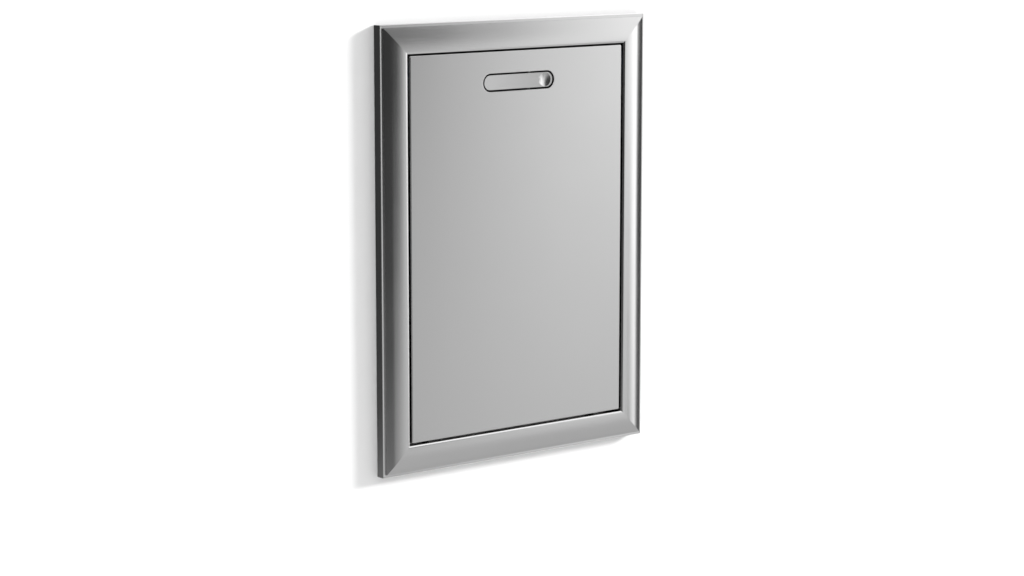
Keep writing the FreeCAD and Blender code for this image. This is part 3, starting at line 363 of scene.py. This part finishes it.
def trim_section(band):
    """Closed section of the trim sheet as (out, depth) points.

    Out runs from the opening's edge, depth back from the front plane. The outer side is the jamb, a tight
    bend, a narrow sloping lip, a roll, a gentle arc that is foremost at the crown, a shoulder arc, the step
    down to the ledge, the side wall and the wall flange; the inner side runs back at the sheet's thickness.
    Each arc leaves the last one along its tangent, at the angle at which the sheet leans there. A stile's
    section is the rail's, stretched outward.
    """
    roll_out = LIP_REACH + ROLL_RADIUS * math.sin(math.radians(ROLL_TURN))
    rise = math.degrees(math.asin((CROWN - roll_out) / (GENTLE_RADIUS - ROLL_RADIUS)))
    fall = -math.degrees(math.asin((SHOULDER_START - CROWN) / GENTLE_RADIUS))

    def moved(centre, distance, lean):
        turn = math.radians(lean)
        return (centre[0] - distance * math.sin(turn), centre[1] - distance * math.cos(turn))

    gentle = (CROWN, GENTLE_RADIUS)
    roll = moved(gentle, GENTLE_RADIUS - ROLL_RADIUS, rise)
    lip_top = moved(roll, ROLL_RADIUS, ROLL_TURN)
    lip = math.radians(LIP_TURN)
    bend_depth = lip_top[1] + (LIP_REACH - JAMB_BEND) * math.tan(lip) + JAMB_BEND / math.cos(lip)
    shoulder = moved(gentle, GENTLE_RADIUS - SHOULDER_RADIUS, fall)

    def crown(inset, roll_start):
        reach = RAIL_BAND - LEDGE - inset - shoulder[0]
        last = -math.degrees(math.asin(reach / (SHOULDER_RADIUS - inset)))
        return np.concatenate([
            arc(roll, ROLL_RADIUS - inset, -90 - roll_start, -90 - rise, 12),
            arc(gentle, GENTLE_RADIUS - inset, -90 - rise, -90 - fall, 16)[1:],
            arc(shoulder, SHOULDER_RADIUS - inset, -90 - fall, -90 - last, 16)[1:],
        ])

    side = RAIL_BAND - SHEET
    foot = TRIM_DEPTH - SHEET
    inner_start = math.degrees(math.asin((roll[0] - SHEET) / (ROLL_RADIUS - SHEET)))
    section = np.concatenate([
        [(0, TRIM_DEPTH)],
        arc((JAMB_BEND, bend_depth), JAMB_BEND, -180, -90 - LIP_TURN, 8),
        crown(0, ROLL_TURN),
        [(RAIL_BAND - LEDGE, LEDGE_DEPTH + LEDGE_LEAN)],
        arc((RAIL_BAND - LEDGE_RADIUS, LEDGE_DEPTH + LEDGE_RADIUS), LEDGE_RADIUS, -90, 0, 6),
        arc((RAIL_BAND - WALL_BEND, TRIM_DEPTH - WALL_BEND), WALL_BEND, 0, 90, 6),
        [(RAIL_BAND - FLANGE, TRIM_DEPTH), (RAIL_BAND - FLANGE, foot), (side, foot),
         (side, LEDGE_DEPTH + SHEET), (side - LEDGE, LEDGE_DEPTH + SHEET)],
        crown(SHEET, inner_start)[::-1],
        [(SHEET, TRIM_DEPTH)],
    ])
    return section * (band / RAIL_BAND, 1)


def trim_rail(name, middle, outward, along, sizes, material):
    """Rail: the section carried along the opening's edge, with ends cut on the mitre.

    The length grows evenly with out, by the ratio of the two bands that meet. Sizes are half the opening
    along the rail, the rail's own band and the band of the rails that it meets.
    """
    half_opening, band, cross_band = sizes
    section = trim_section(band)
    out, depth = section[:, 0], section[:, 1]
    middle, outward, along = (np.array(v, dtype=float) for v in (middle, outward, along))
    back = np.array((0.0, 1.0, 0.0))
    base = middle + out[:, None] * outward + (TRIM_FRONT + depth)[:, None] * back
    reach = half_opening + out * cross_band / band
    points = np.concatenate([base - reach[:, None] * along, base + reach[:, None] * along])
    count = len(section)
    across = np.concatenate([[0], np.cumsum(np.hypot(*np.diff(section, axis=0).T))])
    uv = np.concatenate([np.stack([-reach, across], 1), np.stack([reach, across], 1)])
    faces = grid_faces(2, count) + [list(range(count)), list(range(count, 2 * count))]
    piece = put_mesh(name + "_formed", points, faces, uv)
    place(piece, "cabinet", "trim_steel", material, name)


def trim_frame(material):
    """Four rails round the opening."""
    middle_z = (OPEN_LOW + OPEN_HIGH) / 2
    half_height = (OPEN_HIGH - OPEN_LOW) / 2
    x_axis, z_axis = (1, 0, 0), (0, 0, 1)
    rail = (OPEN_X, RAIL_BAND, STILE_BAND)
    stile = (half_height, STILE_BAND, RAIL_BAND)
    trim_rail("trim_top_rail", (0, 0, OPEN_HIGH), z_axis, x_axis, rail, material)
    trim_rail("trim_bottom_rail", (0, 0, OPEN_LOW), (0, 0, -1), x_axis, rail, material)
    trim_rail("trim_right_stile", (OPEN_X, 0, middle_z), x_axis, z_axis, stile, material)
    trim_rail("trim_left_stile", (-OPEN_X, 0, middle_z), (-1, 0, 0), z_axis, stile, material)


# Drawer front and pull

def pill_reach(angle, half_length, radius, start=0.0):
    """Distance along a ray from (start, 0) to the edge of a pill: its flat sides, else its round ends."""
    c, s = np.cos(angle), np.sin(angle)
    flat = radius / np.maximum(np.abs(s), 1e-9)
    x = start + flat * c
    offset = start - np.sign(c) * half_length
    round_end = -offset * c + np.sqrt(np.maximum(radius ** 2 - (offset * s) ** 2, 0))
    return np.where(np.abs(x) <= half_length, flat, round_end)


def front_outline():
    """Points and outward normals round the front's edge, seen from the pull, with small round corners.

    Each side is sampled at even angles from the pull's middle, so that the cut-out's ends stay smooth.
    """
    x, low, high = skin_box[1].x, skin_box[0].z - PULL_Z, skin_box[1].z - PULL_Z
    r = FRONT_CORNER
    points, normals = [], []
    sides = (
        ((x, low + r), (x, high - r), (1, 0), (x - r, high - r), 0),
        ((x - r, high), (r - x, high), (0, 1), (r - x, high - r), 90),
        ((-x, high - r), (-x, low + r), (-1, 0), (r - x, low + r), 180),
        ((r - x, low), (x - r, low), (0, -1), (x - r, low + r), 270),
    )
    for first, last, normal, corner, turn in sides:
        begin, end = math.atan2(first[1], first[0]), math.atan2(last[1], last[0])
        if end < begin:
            end += 2 * math.pi
        angle = np.linspace(begin, end, max(int((end - begin) / math.radians(FRONT_STEP)), 8))
        gap = first[0] * normal[0] + first[1] * normal[1]
        ray = np.stack([np.cos(angle), np.sin(angle)], 1)
        reach = gap / (ray @ np.array(normal, dtype=float))
        points.append(ray * reach[:, None])
        normals.append(np.tile(np.array(normal, dtype=float), (len(angle), 1)))
        bend = arc((0, 0), 1.0, turn, turn + 90, 7)[1:-1]
        points.append(np.array(corner) + r * bend)
        normals.append(bend)
    return np.concatenate(points), np.concatenate(normals)


def front_skin(material):
    """Front: rings from the cut-out's wall, over its edge and the flat, round the folded edge, back inside.

    Each ring has a depth. It is either the pill, grown by some amount, or the edge outline, drawn in along
    its normals.
    """
    edge, normal = front_outline()
    angle = np.arctan2(edge[:, 1], edge[:, 0])
    ray = np.stack([np.cos(angle), np.sin(angle)], 1)
    radius = CUTOUT_HEIGHT / 2
    half = CUTOUT_LENGTH / 2 - radius
    depth_all = skin_box[1].y - skin_box[0].y
    rings = []

    def pill_ring(grow, depth):
        flat = ray * pill_reach(angle, half, radius + grow)[:, None]
        rings.append((flat, depth))

    def edge_ring(inset, depth):
        rings.append((edge - inset * normal, depth))

    pill_ring(0, SKIN)
    for turn in np.radians(np.linspace(0, 90, 5)):
        pill_ring(CUTOUT_EDGE * (1 - math.cos(turn)), CUTOUT_EDGE * (1 - math.sin(turn)))
    pill_ring(CUTOUT_MARGIN, 0)
    edge_ring(FRONT_CORNER, 0)
    for turn in np.radians(np.linspace(0, 90, 9)):
        edge_ring(FRONT_EDGE * (1 - math.sin(turn)), FRONT_EDGE * (1 - math.cos(turn)))
    edge_ring(0, depth_all)
    edge_ring(SKIN, depth_all)
    edge_ring(SKIN, SKIN)
    points = np.concatenate([
        np.stack([flat[:, 0], np.full(len(flat), FRONT_Y + depth), PULL_Z + flat[:, 1]], 1)
        for flat, depth in rings
    ])
    uv = points[:, [0, 2]]
    piece = put_mesh("front_skin_folded", points, grid_faces(len(rings), len(edge), True), uv)
    place(piece, "drawer", "front_steel", material, "front_skin")


def lever_plate():
    """Points and faces of the pull's plate, as rings about the thumb scoop.

    The scoop's depth at a distance from its middle is a parabola that a soft corner joins to the plate. The
    plate's rings widen evenly from the scoop to the pill, and its front is hollow along its length by
    another parabola. The outer rings are the pill, drawn in for the rounded edge, then down the side and in
    at the back.
    """
    angle = np.linspace(0, 2 * math.pi, LEVER_POINTS, endpoint=False)
    ray = np.stack([np.cos(angle), np.sin(angle)], 1)
    radius = (lever_box[1].z - lever_box[0].z) / 2
    half = (lever_box[1].x - lever_box[0].x) / 2 - radius
    rings = []

    def hollow(x):
        return LEVER_HOLLOW * (1 - (x / (half + radius)) ** 2)

    def front_ring(flat, depth):
        rings.append((flat, depth + hollow(SCOOP_X + flat[:, 0])))

    def pill_edge(inset):
        return ray * pill_reach(angle, half, radius - inset, SCOOP_X)[:, None]

    for reach in np.linspace(0.05, 1.0, 30) * (SCOOP_RADIUS + RING_GAP):
        height = SCOOP_DEPTH * (1 - (reach / SCOOP_RADIUS) ** 2)
        front_ring(ray * reach, SCOOP_LIP * np.logaddexp(0, height / SCOOP_LIP))
    inner, outer = ray * (SCOOP_RADIUS + PLATE_START), pill_edge(LEVER_EDGE + RING_GAP)
    for share in np.linspace(0, 1, 9):
        front_ring(inner + share * (outer - inner), 0)
    for turn in np.radians(np.linspace(0, 90, 7)):
        front_ring(pill_edge(LEVER_EDGE * (1 - math.sin(turn))), LEVER_EDGE * (1 - math.cos(turn)))
    rings.append((pill_edge(0), LEVER_THICKNESS - LEVER_BACK_EDGE))
    rings.append((pill_edge(LEVER_BACK_EDGE), LEVER_THICKNESS))
    points = [
        np.stack([SCOOP_X + flat[:, 0], np.broadcast_to(PULL_Y + depth, LEVER_POINTS),
                  PULL_Z + flat[:, 1]], 1)
        for flat, depth in rings
    ]
    poles = [(SCOOP_X, PULL_Y + SCOOP_DEPTH + hollow(SCOOP_X), PULL_Z),
             (SCOOP_X, PULL_Y + LEVER_THICKNESS, PULL_Z)]
    points = np.concatenate(points + [np.array(poles)])
    last = (len(rings) - 1) * LEVER_POINTS
    faces = grid_faces(len(rings), LEVER_POINTS)
    faces += fan_faces(0, LEVER_POINTS, len(points) - 2) + fan_faces(last, LEVER_POINTS, len(points) - 1)
    return points, faces


def turned_ring(centre, inner, outer, low, high, chamfer, count=64):
    """Points and faces of a tube about an upright axis: a chamfered section turned round it."""
    section = np.array([
        (inner, low + chamfer), (inner + chamfer, low), (outer - chamfer, low), (outer, low + chamfer),
        (outer, high - chamfer), (outer - chamfer, high), (inner + chamfer, high), (inner, high - chamfer),
    ])
    angle = np.linspace(0, 2 * math.pi, count, endpoint=False)
    radius, height = section[:, 0][:, None], section[:, 1][:, None]
    points = np.stack([
        centre[0] + radius * np.cos(angle),
        centre[1] + radius * np.sin(angle),
        np.broadcast_to(centre[2] + height, (len(section), count)),
    ], axis=-1)
    return points.reshape(-1, 3), grid_faces(len(section), count, True)


def pull_lever(material):
    """Pull: the plate with its scoop and the pivot barrel behind it."""
    pivot = next(joint["pos_m"] for joint in frame["joints"] if joint["name"] == "pull_pivot")
    plate, plate_faces = lever_plate()
    axis = (pivot[0], pivot[1], PULL_Z)
    barrel, barrel_faces = turned_ring(axis, BARREL_BORE, BARREL_RADIUS, BARREL_LOW, BARREL_HIGH,
                                       BARREL_CHAMFER)
    barrel_faces = (np.array(barrel_faces) + len(plate)).tolist()
    points = np.concatenate([plate, barrel])
    piece = put_mesh("pull_lever_scooped", points, plate_faces + barrel_faces, points[:, [0, 2]])
    place(piece, "pull", "pull_steel", material, "pull_lever")


# Bins

def bin_outline(half_x, half_y):
    """Points and outward normals of a rectangle with round corners, going round once."""
    points, normals = [], []
    corners = ((1, 1), (-1, 1), (-1, -1), (1, -1))
    for index, (sx, sy) in enumerate(corners):
        bend = arc((0, 0), 1.0, 90 * index, 90 * index + 90, 17)
        middle = np.array((sx * (half_x - BIN_CORNER), sy * (half_y - BIN_CORNER)))
        points.append(middle + BIN_CORNER * bend)
        normals.append(bend)
    return np.concatenate(points), np.concatenate(normals)


def bin_section(low, high):
    """(grow, z) points from the middle of the underside, up the outside, over the rim and down inside.

    Grow is the distance outside the wall's outline at the top. The wall leans in by the draft towards its
    foot. Under the rim a band stands out a little, and the rim turns down as a skirt with a round hem.
    """
    height = high - low

    def lean(z):
        return -BIN_DRAFT * (high - z) / height

    def wall(z, inset=0.0):
        return (lean(z) - inset, z)

    foot = lean(low)
    skirt = BIN_RIM - BIN_WALL
    lip = BIN_WALL / 2
    band_low, band_high = low + BIN_BAND_LOW * height, low + BIN_BAND_HIGH * height
    outside = [(foot - BIN_MIDDLE, low + BIN_PUSH_UP), (foot - BIN_PUSH_UP_TOP, low + BIN_PUSH_UP),
               (foot - BIN_PUSH_UP_EDGE, low)]
    round_foot = arc((foot - BIN_FOOT_RADIUS, low + BIN_FOOT_RADIUS), BIN_FOOT_RADIUS, -90, 0, 8).tolist()
    step = [wall(band_low), (lean(band_high) + BIN_BAND_STEP, band_high),
            (lean(high) + BIN_NECK_STEP, high - BIN_NECK_DROP)]
    under = [(BIN_NECK_FILLET, high - BIN_WALL - BIN_NECK_FILLET),
             (skirt - BIN_SKIRT_EASE, high - BIN_WALL),
             (skirt, high - BIN_WALL - BIN_SKIRT_DROP),
             (skirt, high - BIN_RIM_DROP + lip)]
    hem = arc((BIN_RIM - lip, high - BIN_RIM_DROP + lip), lip, 180, 360, 8).tolist()
    roll = arc((BIN_RIM - BIN_RIM_RADIUS, high - BIN_RIM_RADIUS), BIN_RIM_RADIUS, 0, 90, 8).tolist()
    mouth_centre = (BIN_MOUTH_RADIUS - BIN_WALL, high - BIN_MOUTH_RADIUS)
    mouth = arc(mouth_centre, BIN_MOUTH_RADIUS, 90, 180, 8).tolist()
    floor = low + BIN_PUSH_UP + BIN_WALL
    inner_foot = lean(floor) - BIN_WALL
    inside = [wall(band_high, BIN_WALL), wall(floor + BIN_FLOOR_RADIUS, BIN_WALL)]
    sweep_centre = (inner_foot - BIN_FLOOR_RADIUS, floor + BIN_FLOOR_RADIUS)
    sweep = arc(sweep_centre, BIN_FLOOR_RADIUS, 0, -90, 9).tolist()
    ending = [(inner_foot - BIN_MIDDLE, floor)]
    return np.array(outside + round_foot + step + under + hem + roll + mouth + inside + sweep + ending)


def lift_out_bin(node, slot, material):
    """Bin: the section carried round the outline, each ring grown along its normals, with closed poles."""
    low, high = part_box(node)
    middle = (low + high) / 2
    outline, normal = bin_outline((high.x - low.x) / 2 - BIN_RIM, (high.y - low.y) / 2 - BIN_RIM)
    section = bin_section(low.z, high.z)
    count = len(outline)
    rings = outline[None] + section[:, 0][:, None, None] * normal[None]
    points = np.stack([
        middle.x + rings[..., 0],
        middle.y + rings[..., 1],
        np.broadcast_to(section[:, 1][:, None], rings.shape[:2]),
    ], axis=-1).reshape(-1, 3)
    poles = np.array([(middle.x, middle.y, section[0, 1]), (middle.x, middle.y, section[-1, 1])])
    points = np.concatenate([points, poles])
    last = (len(section) - 1) * count
    faces = grid_faces(len(section), count)
    faces += fan_faces(0, count, len(points) - 2) + fan_faces(last, count, len(points) - 1)
    place(put_mesh(node + "_moulded", points, faces), node, slot, material, node)


# Finishes of the solids that stay

def finish_solids(finishes):
    """Gives each kept solid the material of its record slot."""
    slot_of = {row["node"]: row["material_slot"] for row in frame["record"]["subparts"]}
    for name, solid in nodes.items():
        solid.data.materials.clear()
        solid.data.materials.append(finishes[slot_of[name]])


# Stage, light and camera

def stage_sheet(name, points, faces, material):
    """Flat sheet of the stage."""
    mesh = bpy.data.meshes.new(name)
    mesh.from_pydata(points, [], faces)
    mesh.materials.append(material)
    sheet = bpy.data.objects.new(name, mesh)
    bpy.context.scene.collection.objects.link(sheet)
    return sheet


def pale_paint(name, colour):
    """Matt pale surface."""
    material, _, shader, _ = new_material(name)
    shader.inputs["Base Color"].default_value = (*colour, 1)
    shader.inputs["Roughness"].default_value = 0.9
    shader.inputs["Specular IOR Level"].default_value = 0.0
    return material


def stage():
    """Pale wall with the cut-out behind the trim, and a pale floor at its foot."""
    wall_paint = pale_paint("wall_paint", PALE)
    floor_paint = pale_paint("floor_paint", PALE)
    reach, cut = STAGE_REACH, CUT_WIDTH / 2
    outer = [(-reach, FLOOR_Z), (reach, FLOOR_Z), (reach, WALL_TOP), (-reach, WALL_TOP)]
    inner = [(-cut, CUT_LOW), (cut, CUT_LOW), (cut, CUT_HIGH), (-cut, CUT_HIGH)]
    points = [(x, WALL_BEHIND, z) for x, z in outer + inner]
    faces = [(k, (k + 1) % 4, 4 + (k + 1) % 4, 4 + k) for k in range(4)]
    wall = stage_sheet("wall", points, faces, wall_paint)
    square = [(-reach, -reach), (reach, -reach), (reach, reach), (-reach, reach)]
    floor = stage_sheet("floor", [(x, y, FLOOR_Z) for x, y in square], [(0, 1, 2, 3)], floor_paint)
    for sheet in (wall, floor):
        sheet.visible_glossy = False


def heading(azimuth, elevation):
    """Unit vector out from the front: azimuth 0 is straight ahead of it, 90 to its right."""
    a, e = math.radians(azimuth), math.radians(elevation)
    return Vector((math.sin(a) * math.cos(e), -math.cos(a) * math.cos(e), math.sin(e)))


def studio_world():
    """Room round the object, by how far a ray heads right, back and up, in degrees.

    Ahead it is dark but for a tall window on the right, with a bright core and an upright bar low in it,
    and the floor that it lights below. Past the window it is dark again, up to a bright side. Behind it is
    grey, bright on the right and dark on the left. The floor dims with depth and brightens underfoot, and a
    bright skylight lies under a plainer ceiling.
    """
    world = bpy.data.worlds.new("studio")
    bpy.context.scene.world = world
    world.use_nodes = True
    tree = world.node_tree
    background = tree.nodes["Background"]

    def math_node(operation, *values):
        return add_node(tree, "ShaderNodeMath", dict(enumerate(values)), operation=operation).outputs[0]

    def ramp(value, low, high):
        """0 at low and 1 at high, in degrees, with a smooth step between them."""
        edges = {"Value": value, "From Min": math.radians(low), "From Max": math.radians(high)}
        return add_node(tree, "ShaderNodeMapRange", edges, interpolation_type="SMOOTHSTEP").outputs[0]

    def between(value, a, b, c, d):
        """Rises from a to b and falls from c to d."""
        return math_node("SUBTRACT", ramp(value, a, b), ramp(value, c, d))

    def blend(amount, base, other):
        """base where amount is 0, other where it is 1."""
        return math_node("MULTIPLY_ADD", amount, math_node("SUBTRACT", other, base), base)

    heading_of_ray = add_node(tree, "ShaderNodeTexCoord").outputs["Generated"]
    parts = add_node(tree, "ShaderNodeSeparateXYZ", {"Vector": heading_of_ray})
    right, back, up = (math_node("ARCSINE", parts.outputs[axis]) for axis in "XYZ")

    low = blend(between(right, *GLOW_SPAN), DARK_LOW, FLOOR_GLOW)
    low = blend(ramp(right, *LEFT_GLOW), low, FLOOR_GLOW)
    middle = blend(between(right, *WINDOW_SPAN), DARK_SIDE, WINDOW)
    high = blend(between(right, *HIGH_WINDOW_SPAN), DARK_SIDE, WINDOW)
    high = blend(ramp(right, *LEFT_ROOM), high, ROOM)
    ahead = blend(ramp(up, *LOW_TO_MIDDLE), low, middle)
    ahead = blend(ramp(up, *MIDDLE_TO_HIGH), ahead, high)
    bar = math_node("MULTIPLY", between(right, *BAR_SPAN), ramp(up, *BAR_DROP))
    ahead = blend(math_node("MULTIPLY", bar, WINDOW_BAR), ahead, DARK_SIDE)
    core = math_node("MULTIPLY", between(right, *CORE_SPAN), ramp(up, *CORE_RISE))
    ahead = blend(core, ahead, WINDOW_CORE)
    ahead = blend(ramp(right, *SIDE_AHEAD), ahead, SIDE_WINDOW)
    behind = blend(between(right, *DARK_SPAN), ROOM, DARK_SIDE)
    behind = blend(ramp(right, *SIDE_BEHIND), behind, SIDE_WINDOW)
    level = blend(ramp(back, *BEHIND), ahead, behind)
    for begin, full, layer in (FLOOR_NEAR, FLOOR_DEEP, FLOOR_UNDER, SKYLIGHT, CEILING):
        level = blend(ramp(up, begin, full), level, layer)
    tree.links.new(level, background.inputs["Strength"])
    background.inputs["Color"].default_value = (1, 1, 1, 1)


def lamp(name, azimuth, elevation, spread, strength):
    """Broad lamp far off, which matt surfaces see and steel doesn't."""
    light = bpy.data.lights.new(name, "SUN")
    light.energy = strength
    light.angle = math.radians(spread)
    holder = bpy.data.objects.new(name, light)
    holder.rotation_mode = "QUATERNION"
    holder.rotation_quaternion = heading(azimuth, elevation).to_track_quat("Z", "Y")
    holder.visible_glossy = False
    bpy.context.scene.collection.objects.link(holder)


def camera():
    """Camera at the photograph's place, upright, with its lens from the focal length in pixels."""
    data = bpy.data.cameras.new("camera")
    data.sensor_width = SENSOR_WIDTH
    data.lens = FOCAL_PIXELS / PHOTO_WIDTH * data.sensor_width
    view = bpy.data.objects.new("camera", data)
    view.location = CAMERA_PLACE
    view.rotation_euler = (math.radians(90 - CAMERA_PITCH), 0, math.radians(-CAMERA_YAW))
    bpy.context.scene.collection.objects.link(view)
    bpy.context.scene.camera = view


trim_finish = satin_steel("trim_satin", STEEL, 0.14, (12, 700, 1), source="UV", anisotropy=0.3)
front_finish = satin_steel("front_satin", STEEL, 0.18, (14, 700, 1), source="UV", anisotropy=0.5)
pull_finish = satin_steel("pull_satin", PULL_STEEL, 0.17, (20, 900, 1), source="UV", anisotropy=0.3)
finish_solids({
    "front_steel": front_finish,
    "trim_steel": trim_finish,
    "pull_steel": pull_finish,
    "cabinet_steel": satin_steel("cabinet_sheet", SHEET_STEEL, 0.36, (1400, 10, 1400), depth=0.006),
    "drawer_steel": satin_steel("drawer_sheet", SHEET_STEEL, 0.34, (1400, 10, 1400), depth=0.006),
    "slide_steel": plated_steel("slide_zinc", (0.66, 0.66, 0.64), 0.30),
    "cage_steel": plated_steel("cage_zinc", (0.55, 0.53, 0.48), 0.35),
    "bright_steel": plated_steel("bright_steel", (0.70, 0.70, 0.70), 0.18),
    "fastener_steel": plated_steel("fastener_steel", (0.60, 0.60, 0.60), 0.30),
    "black_rubber": moulded("black_rubber", (0.03, 0.03, 0.03), 0.65, 900, 0.03),
    "black_plastic": moulded("black_plastic", (0.04, 0.04, 0.04), 0.50, 1500, 0.02),
    "magnet_grey": plated_steel("magnet_grey", (0.20, 0.20, 0.20), 0.45),
    "trash_plastic": moulded("charcoal_plastic", (0.10, 0.10, 0.11), 0.50, 1200, 0.03),
    "recycling_plastic": moulded("blue_plastic", (0.07, 0.17, 0.36), 0.50, 1200, 0.03),
})
trim_frame(trim_finish)
front_skin(front_finish)
pull_lever(pull_finish)
lift_out_bin("trash_bin", "trash_plastic", bpy.data.materials["charcoal_plastic"])
lift_out_bin("recycling_bin", "recycling_plastic", bpy.data.materials["blue_plastic"])
stage()
studio_world()
lamp("key", *KEY)
camera()
bpy.context.scene.view_settings.view_transform = "Standard"
